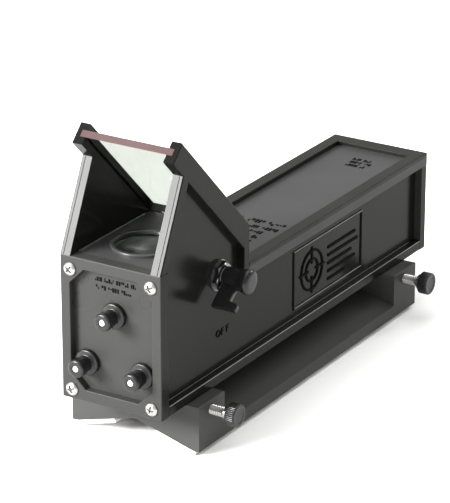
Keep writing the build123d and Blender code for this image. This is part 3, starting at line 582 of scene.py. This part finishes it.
# ---------------------------------------------------------------------------------------------
# Side shells. Black glossy ABS mouldings, each with its wing; thin paler strips along the ledge's
# outer edge and inner corner are painted highlights. A raised frame holds a plain target and five
# ribs, and the control's off end is marked.
# ---------------------------------------------------------------------------------------------
SKIN_DEPTH = 3.0 * MM                 # how far the sides' fields are sunk
PLATE_FROM, PLATE_TO = (99.5, 7.6), (154.0, 32.4)      # mm along the sight and up
TARGET_AT, TARGET_RINGS = (114.0, 20.0), (8.2, 4.6)
TARGET_RIB = 1.1
SPOKE_IN, SPOKE_OUT, SIGN_RISE = 2.0, 1.6, 0.45 * MM
RIBS_FROM, RIB_H = 126.5, 1.3
NAMEPLATE_RIBS = ((24.6, 22.0), (21.2, 24.0), (17.8, 19.0), (14.4, 22.0), (11.0, 14.0))   # up, length

dress(shell_abs, "right_side_shell", "left_side_shell")
shell_low, shell_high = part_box("right_side_shell")
sight_width = shell_high.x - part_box("left_side_shell")[0].x


def side_sign(side):
    """The target and the ribs inside the raised frame on one side."""
    face_x = centre_x + side * (sight_width / 2 - SKIN_DEPTH)
    along = (0, side, 0)
    start = panel_low.y if side > 0 else panel_low.y + (PLATE_FROM[0] + PLATE_TO[0]) * MM
    origin = (face_x, start, shell_low.z)
    spokes = []
    for du, dv in ((1, 0), (-1, 0), (0, 1), (0, -1)):
        near, far = TARGET_RINGS[1] - SPOKE_IN, TARGET_RINGS[0] + SPOKE_OUT
        u0, u1 = sorted((du * near, du * far)) if du else (-TARGET_RIB / 2, TARGET_RIB / 2)
        v0, v1 = sorted((dv * near, dv * far)) if dv else (-TARGET_RIB / 2, TARGET_RIB / 2)
        spokes.append((TARGET_AT[0] + u0, TARGET_AT[1] + v0, u1 - u0, v1 - v0))
    rows = [(RIBS_FROM, bottom, length, RIB_H) for bottom, length in NAMEPLATE_RIBS]
    suffix = "right" if side > 0 else "left"
    raised_marks(f"nameplate_marks_{suffix}", origin, along, (0, 0, 1), spokes + rows, SIGN_RISE,
                 mark_abs, "sight")
    at = (face_x, start + side * TARGET_AT[0] * MM, shell_low.z + TARGET_AT[1] * MM)
    for number, radius in enumerate(TARGET_RINGS):
        r0, r1 = (radius - TARGET_RIB / 2) * MM, (radius + TARGET_RIB / 2) * MM
        rib = rounded([(-0.05 * MM, r0), (SIGN_RISE, r0 + 0.12 * MM), (SIGN_RISE, r1 - 0.12 * MM),
                       (-0.05 * MM, r1)],
                      0.1 * MM, 3)
        ring = spun(f"nameplate_ring_{suffix}_{number}", at, (side, 0, 0),
                    np.concatenate([rib, rib[:1]]), mark_abs, 72)
        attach(ring, "sight")


side_sign(1)
side_sign(-1)

LEDGE_H, HIGHLIGHT_W = 4.2, 0.34         # mm, height of the ledge and width of its strip of painted highlight
HIGHLIGHT_RISE, HIGHLIGHT_GAP, FAR_BORDER = 0.1 * MM, 0.4, 4.0
# Paler plastic on thin raised strips along the ledge's outer edge and inner corner: painted highlights that
# stand in for the light caught by rounded edges.
ledge_highlight_abs = moulded("ledge_highlight_abs", (0.2, 0.2, 0.19), 0.35, ior=1.4)
ledge_length = (shell_high.y - panel_high.y) / MM
for side, suffix in ((1, "right"), (-1, "left")):
    outer_x = centre_x + side * sight_width / 2
    start = panel_high.y if side > 0 else shell_high.y
    edge_line = [(HIGHLIGHT_GAP, LEDGE_H - HIGHLIGHT_W - 0.05, ledge_length - 2 * HIGHLIGHT_GAP, HIGHLIGHT_W)]
    raised_marks(f"ledge_edge_highlight_{suffix}", (outer_x, start, shell_low.z), (0, side, 0), (0, 0, 1),
                 edge_line, HIGHLIGHT_RISE, ledge_highlight_abs, "sight")
    start = panel_high.y if side > 0 else shell_high.y - FAR_BORDER * MM
    corner_line = [(HIGHLIGHT_GAP, LEDGE_H, ledge_length - FAR_BORDER - 2 * HIGHLIGHT_GAP, HIGHLIGHT_W * 0.7)]
    raised_marks(f"ledge_corner_highlight_{suffix}", (outer_x - side * SKIN_DEPTH, start, shell_low.z),
                 (0, side, 0), (0, 0, 1), corner_line, HIGHLIGHT_RISE, ledge_highlight_abs, "sight")

OFF_AT, OFF_HEIGHT, OFF_STROKE = (42.6, 16.9), 2.9, 0.42
off_boxes = []
for place_u in (OFF_AT[0] + 3.6, OFF_AT[0] + 7.2):
    off_boxes += [(place_u, OFF_AT[1], OFF_STROKE, OFF_HEIGHT),
                  (place_u + OFF_STROKE, OFF_AT[1] + OFF_HEIGHT - OFF_STROKE, 1.4, OFF_STROKE),
                  (place_u + OFF_STROKE, OFF_AT[1] + OFF_HEIGHT * 0.48, 1.1, OFF_STROKE)]
off_face = (shell_high.x - SKIN_DEPTH, panel_low.y, panel_low.z)
raised_marks("off_mark_bars", off_face, (0, 1, 0), (0, 0, 1), off_boxes, 0.3 * MM, mark_abs,
             "sight")
letter_r = OFF_HEIGHT / 2 * MM
off_ring = spun("off_mark_ring", (off_face[0], off_face[1] + (OFF_AT[0] + 1.4) * MM,
                                  off_face[2] + (OFF_AT[1] + OFF_HEIGHT / 2) * MM), (1, 0, 0),
                [(-0.03 * MM, letter_r - OFF_STROKE * MM), (0.27 * MM, letter_r - OFF_STROKE * MM),
                 (0.27 * MM, letter_r), (-0.03 * MM, letter_r), (-0.03 * MM, letter_r - OFF_STROKE * MM)],
                mark_abs, 48)
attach(off_ring, "sight")

# ---------------------------------------------------------------------------------------------
# Lens deck, lens and ring. The deck is black ABS with a bead along both side edges; the lens is a
# slightly hazed glass singlet, dropped into its seat and held by a pressed-in glossy ring.
# ---------------------------------------------------------------------------------------------
BEAD = 0.5 * MM                       # width of the bead along each side edge of the deck
SILL_RUN = 12 * MM                    # of the deck's length, behind the bead's far end
LENS_EDGE, LENS_RIM = 1.7 * MM, 0.95 * MM

deck_abs = moulded("deck_abs", (0.060, 0.060, 0.060), 0.36, ior=1.38)
ring_black = moulded("ring_black", (0.05, 0.05, 0.05), 0.22, ior=1.46)
lens_glass = new_material("lens_glass", Base_Color=(0.95, 0.96, 0.98, 1), Roughness=0.18,
                          Transmission_Weight=1.0, IOR=1.52, Metallic=0.0)
dress(deck_abs, "lens_deck")

deck_low, deck_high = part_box("lens_deck")
deck_z = panel_high.z
for side, wall_x in ((1, deck_low.x), (-1, deck_high.x)):
    points = [(wall_x, y, deck_z) for y in (deck_low.y, deck_high.y - SILL_RUN)]
    points += [(x + side * BEAD * across, y, z + BEAD * up) for across, up in ((1, 0), (0.62, 0.62), (0, 1))
               for x, y, z in points[:2]]
    bead = surface(f"deck_bead_{'left' if side > 0 else 'right'}", points,
                   [(0, 1, 3, 2), (2, 3, 5, 4), (4, 5, 7, 6), (6, 7, 1, 0), (0, 2, 4, 6), (1, 3, 5, 7)],
                   shell_abs, 60)
    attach(bead, "sight")

ring_low, ring_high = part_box("lens_ring")
ring_x, ring_y = (ring_low.x + ring_high.x) / 2, (ring_low.y + ring_high.y) / 2
ring_r, ring_h = (ring_high.x - ring_low.x) / 2, ring_high.z - ring_low.z
ring_section = rounded([(0, ring_r - 2.0 * MM), (0, ring_r), (ring_h, ring_r),
                        (ring_h, ring_r - 1.7 * MM), (0, ring_r - 2.0 * MM)],
                       [0.05 * MM, 0.55 * MM, 0.5 * MM], 7)
# Both axes are a hair off vertical, because spun() works its sides out from Z.
seat_ring = spun("lens_ring_round", (ring_x, ring_y, ring_low.z), (0, 0.001, 1), ring_section,
                 ring_black, 128)
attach(seat_ring, "sight")
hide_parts("lens_ring")

lens_low, lens_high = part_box("lens")
lens_r = (lens_high.x - lens_low.x) / 2
crown = lens_high.z - lens_low.z - LENS_EDGE
clear_r = lens_r - LENS_RIM
sphere_r = (clear_r ** 2 + crown ** 2) / (2 * crown)
t = np.linspace(0, clear_r, 40)
dome = np.stack([LENS_EDGE + np.sqrt(sphere_r ** 2 - t ** 2) - sphere_r + crown, t], axis=1)
lens_edge_profile = rounded([(LENS_EDGE, clear_r), (LENS_EDGE, lens_r), (0, lens_r), (0, 0)], 0.15 * MM, 3)
lens_profile = np.concatenate([dome, lens_edge_profile[1:]])
lens_dome = spun("lens_dome", (ring_x, ring_y, lens_low.z), (0, 0.0001, 1), lens_profile, lens_glass, 128)
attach(lens_dome, "sight")
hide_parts("lens")

# ---------------------------------------------------------------------------------------------
# Mirror and its mount. A front-silvered plate on a rocking black moulding with three brass thread
# inserts, pushed away from the user's panel by three wire springs.
# ---------------------------------------------------------------------------------------------
inner_abs = moulded("inner_abs", (0.022, 0.022, 0.022), 0.5)
silver = plated("silvered_glass", (0.92, 0.92, 0.93), 0.02, drift=0.02)
turned_brass = plated("turned_brass", (0.78, 0.60, 0.28), 0.28)
drawn_wire = plated("drawn_wire", (0.56, 0.56, 0.58), 0.3)
dress(inner_abs, "mirror_mount", "light_mask", "battery_holder")
dress(silver, "mirror")
dress(turned_brass, "mount_inserts")
dress(drawn_wire, "mirror_spring_top", "mirror_spring_left", "mirror_spring_right", "battery_contacts")

# ---------------------------------------------------------------------------------------------
# Adjusters. Each is a glossy black knob moulded on a steel screw whose polished end shows in the
# knob's face; a thin washer lies under its flange.
# ---------------------------------------------------------------------------------------------
GRIP_SHARE, WAIST_SHARE, KNOB_BORE = 0.694, 0.595, 1.5 * MM     # shares of the flange's radius

dress(knob_black, "adjuster_washers")
screw_white = plated("polished_screw_end", (0.68, 0.68, 0.67), 0.4)
dress(screw_white, "adjuster_screw_top", "adjuster_screw_left", "adjuster_screw_right")
for place in ("top", "left", "right"):
    low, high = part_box(f"adjuster_knob_{place}")
    wide = (high.x - low.x) / 2
    grip, waist = wide * GRIP_SHARE, wide * WAIST_SHARE
    long = high.y - low.y
    knob_profile = rounded(
        [(long, KNOB_BORE), (long, wide), (long - 1.3 * MM, wide), (long - 1.75 * MM, waist),
         (long - 4.3 * MM, waist), (long - 4.7 * MM, grip), (0, grip), (0, KNOB_BORE)],
        [0.25 * MM, 0.5 * MM, 0.3 * MM, 0.2 * MM, 0.25 * MM, 1.1 * MM], 7)
    knob = spun(f"adjuster_grip_{place}", ((low.x + high.x) / 2, low.y, (low.z + high.z) / 2), (0, 1, 0),
                np.concatenate([knob_profile, knob_profile[:1]]), knob_black, 96)
    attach(knob, f"adjuster_{place}")
    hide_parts(f"adjuster_knob_{place}")

# ---------------------------------------------------------------------------------------------
# Brightness control. A potentiometer with a switch behind the right shell, its chromed nut and
# washer outside, and a black lever knob: a flared hub with a flat arm that ends in a thumb tab.
# ---------------------------------------------------------------------------------------------
ARM_T, ARM_W, ARM_BEVEL = 2.2 * MM, 6.5 * MM, 0.25 * MM
ARM_REACH, TAB_REACH, TAB_T = 13.4 * MM, 4.0 * MM, 2.7 * MM
NECK_SHARE = 0.828                    # of the hub's radius
ARM_TURN = math.radians(218.1)        # in the side view, from +Y towards +Z

zinc = plated("zinc_can", (0.27, 0.27, 0.26), 0.38)
chrome = plated("bright_chrome", (0.24, 0.245, 0.25), 0.12)
dress(zinc, "potentiometer", "control_shaft")
dress(chrome, "control_nut")
dress(plated("dark_washer", (0.2, 0.2, 0.2), 0.3), "control_washer")

shaft_low, shaft_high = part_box("control_shaft")
knob_low, knob_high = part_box("brightness_knob")
hub_y, hub_z = (shaft_low.y + shaft_high.y) / 2, (shaft_low.z + shaft_high.z) / 2
hub_r, hub_l = knob_high.y - hub_y, knob_high.x - knob_low.x
neck_r = hub_r * NECK_SHARE
hub_profile = rounded(
    [(0, shaft_high.z - hub_z), (0, neck_r), (hub_l - 4.9 * MM, neck_r), (hub_l - 2.4 * MM, hub_r),
     (hub_l - 0.7 * MM, hub_r), (hub_l, hub_r * 0.62), (hub_l, 0)],
    [0.3 * MM, 1.2 * MM, 0.9 * MM, 1.5 * MM, 1.2 * MM], 8)
hub = spun("lever_hub", (knob_low.x, hub_y, hub_z), (1, 0, 0), hub_profile, knob_black, 96)
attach(hub, "brightness_lever")
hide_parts("brightness_knob")

arm_outline = rounded([(0, neck_r - 0.6 * MM), (ARM_W, neck_r - 0.6 * MM),
                       (ARM_W, ARM_REACH - TAB_T - 0.6 * MM),
                       (ARM_W + TAB_REACH, ARM_REACH - TAB_T), (ARM_W + TAB_REACH, ARM_REACH),
                       (0, ARM_REACH)], 0.35 * MM, 4, closed=True)
count = len(arm_outline)
thickness = np.array([-ARM_T / 2, ARM_BEVEL - ARM_T / 2, ARM_T / 2 - ARM_BEVEL, ARM_T / 2])
inset = np.array([1, 0, 0, 1]) * ARM_BEVEL
middle = arm_outline.mean(axis=0)
toward = (arm_outline - middle) / np.linalg.norm(arm_outline - middle, axis=1, keepdims=True)
rows = arm_outline[None] - toward[None] * inset[:, None, None]
reach_y, reach_z = math.cos(ARM_TURN), math.sin(ARM_TURN)
points = np.empty((4, count, 3))
points[..., 0] = knob_low.x + rows[..., 0]
points[..., 1] = hub_y + rows[..., 1] * reach_y + thickness[:, None] * reach_z
points[..., 2] = hub_z + rows[..., 1] * reach_z - thickness[:, None] * reach_y
arm = surface("lever_arm", points, grid_faces(4, count)
              + [list(range(count)), list(range(3 * count, 4 * count))], knob_black, 30)
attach(arm, "brightness_lever")

# ---------------------------------------------------------------------------------------------
# Light source. A 5 mm red LED behind a disc of black film with clear rings, both held by the mask
# that crosses the box.
# ---------------------------------------------------------------------------------------------
RETICLE_RINGS, RETICLE_LINE = (1.3, 3.4, 5.8), 0.16     # mm

led_red = new_material("led_epoxy", Base_Color=(0.65, 0.03, 0.02, 1), Roughness=0.12, IOR=1.5)
dress(led_red, "led")


def ring_mask(centre):
    """1 on three thin rings about an axis along Y, from the distance to that axis, else 0."""
    tree, given, made = add_group("reticle_rings", {}, {"Mask": "Float"})
    node, link = tree.nodes.new, tree.links.new
    place = node("ShaderNodeTexCoord")
    from_centre = node("ShaderNodeVectorMath")
    from_centre.operation = "SUBTRACT"
    from_centre.inputs[1].default_value = centre
    flat = node("ShaderNodeVectorMath")
    flat.operation = "MULTIPLY"
    flat.inputs[1].default_value = (1, 0, 1)
    distance = node("ShaderNodeVectorMath")
    distance.operation = "LENGTH"
    link(place.outputs["Object"], from_centre.inputs[0])
    link(from_centre.outputs[0], flat.inputs[0])
    link(flat.outputs[0], distance.inputs[0])
    total = None
    for radius in RETICLE_RINGS:
        near = node("ShaderNodeMath")
        near.operation = "COMPARE"
        near.inputs[1].default_value = radius * MM
        near.inputs[2].default_value = RETICLE_LINE / 2 * MM
        link(distance.outputs["Value"], near.inputs[0])
        if total is None:
            total = near
        else:
            both = node("ShaderNodeMath")
            both.operation = "MAXIMUM"
            link(total.outputs[0], both.inputs[0])
            link(near.outputs[0], both.inputs[1])
            total = both
    link(total.outputs[0], made.inputs["Mask"])
    return tree


disc_low, disc_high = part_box("reticle_disc")
film = new_material("reticle_film", Roughness=0.25)
film_tree = film.node_tree
rings = film_tree.nodes.new("ShaderNodeGroup")
rings.node_tree = ring_mask((disc_low + disc_high) / 2)
film_colour = film_tree.nodes.new("ShaderNodeMix")
film_colour.data_type = "RGBA"
film_colour.inputs["A"].default_value = (0.012, 0.012, 0.012, 1)
film_colour.inputs["B"].default_value = (0.8, 0.3, 0.28, 1)
film_tree.links.new(rings.outputs["Mask"], film_colour.inputs["Factor"])
film_tree.links.new(film_colour.outputs["Result"], film_tree.nodes["Principled BSDF"].inputs["Base Color"])
dress(film, "reticle_disc")

# ---------------------------------------------------------------------------------------------
# Battery and wires. Two AA cells in plain dark sleeves with a copper-coloured band towards the nub,
# in an open black holder; PVC-covered wires run to the control and the light.
# ---------------------------------------------------------------------------------------------
BAND_SHARE = 0.3                      # of each cell's length


def cell_sleeve(name, nub_at_far_end):
    """A glossy sleeve, dark along the body and copper-coloured near the nub, split across Y."""
    low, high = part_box(name)
    band = BAND_SHARE * (high.y - low.y)
    edge = high.y - band if nub_at_far_end else low.y + band
    material = new_material(name + "_sleeve", Roughness=0.22, Metallic=0.0)
    tree = material.node_tree
    place = tree.nodes.new("ShaderNodeTexCoord")
    split = tree.nodes.new("ShaderNodeSeparateXYZ")
    past = tree.nodes.new("ShaderNodeMath")
    past.operation = "GREATER_THAN" if nub_at_far_end else "LESS_THAN"
    past.inputs[1].default_value = edge
    colour = tree.nodes.new("ShaderNodeMix")
    colour.data_type = "RGBA"
    colour.inputs["A"].default_value = (0.02, 0.022, 0.026, 1)
    colour.inputs["B"].default_value = (0.55, 0.26, 0.12, 1)
    tree.links.new(place.outputs["Object"], split.inputs[0])
    tree.links.new(split.outputs["Y"], past.inputs[0])
    tree.links.new(past.outputs[0], colour.inputs["Factor"])
    tree.links.new(colour.outputs["Result"], tree.nodes["Principled BSDF"].inputs["Base Color"])
    dress(material, name)


cell_sleeve("battery_cell_right", True)
cell_sleeve("battery_cell_left", False)
dress(moulded("pvc_red", (0.5, 0.02, 0.015), 0.3, drift=0.1), "wire_battery_to_control",
      "wire_control_to_light")
dress(moulded("pvc_black", (0.01, 0.01, 0.01), 0.3, drift=0.1), "wire_light_to_battery")

# ---------------------------------------------------------------------------------------------
# Battery lid. A long black ABS cover that snaps over the shells, with a polished border round a
# sunk dull top; small raised marks lie near the window and in a smaller block at the far end.
# ---------------------------------------------------------------------------------------------
LID_SUNK = 2.0 * MM
LID_DULL = (0.046, 0.046, 0.046)

lid_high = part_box("battery_lid")[1]
lid_abs = moulded("lid_abs", LID_DULL, 0.34, ior=1.25)
two_finishes(lid_abs, "Z", 0.0, lid_high.z - LID_SUNK * 0.9, LID_DULL, POLISHED)
dress(lid_abs, "battery_lid")
lid_marks = word_rows(12, -8.0, 14.0, (102.6,), 3.1)
lid_marks += word_rows(31, -6.5, 13.5, (97.4, 92.6, 87.8, 82.6), 2.6)
lid_marks += word_rows(17, -3.0, 7.4, (184.6, 181.0, 177.4), 2.2)
raised_marks("lid_marks", (centre_x, panel_low.y, lid_high.z - LID_SUNK), (1, 0, 0), (0, 1, 0), lid_marks,
             MARK_RISE, mark_abs, "lid")

# ---------------------------------------------------------------------------------------------
# Window. A pane of plate glass with a faint green coating, slid down the slots of both wings; its
# upper edge is ground, and shows as a dull pinkish-brown strip.
# ---------------------------------------------------------------------------------------------
PANE_T = 2.75 * MM
STRIP_T = 0.03 * MM

pane_glass = new_material("pane_glass", Base_Color=(0.555, 0.585, 0.54, 1), Roughness=0.0,
                          Transmission_Weight=1.0, IOR=1.5, Metallic=0.0)
ground_edge = moulded("ground_edge", (0.075, 0.045, 0.044), 0.35, ior=1.5, drift=0.3)
dress(pane_glass, "window_glass")

pane_low, pane_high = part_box("window_glass")
top_front = Vector((0, pane_low.y, pane_high.z - PANE_T * math.sqrt(0.5)))
top_back = Vector((0, pane_low.y + PANE_T * math.sqrt(0.5), pane_high.z))
out = Vector((0, -1, 1)).normalized() * STRIP_T
corners = []
for x in (pane_low.x, pane_high.x):
    corners += [top_front + Vector((x, 0, 0)), top_back + Vector((x, 0, 0)),
                top_back + Vector((x, 0, 0)) + out, top_front + Vector((x, 0, 0)) + out]
strip_faces = [(0, 1, 2, 3), (4, 5, 6, 7), (0, 1, 5, 4), (1, 2, 6, 5), (2, 3, 7, 6), (3, 0, 4, 7)]
edge_strip = surface("window_ground_edge", corners, strip_faces, ground_edge)
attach(edge_strip, "sight")
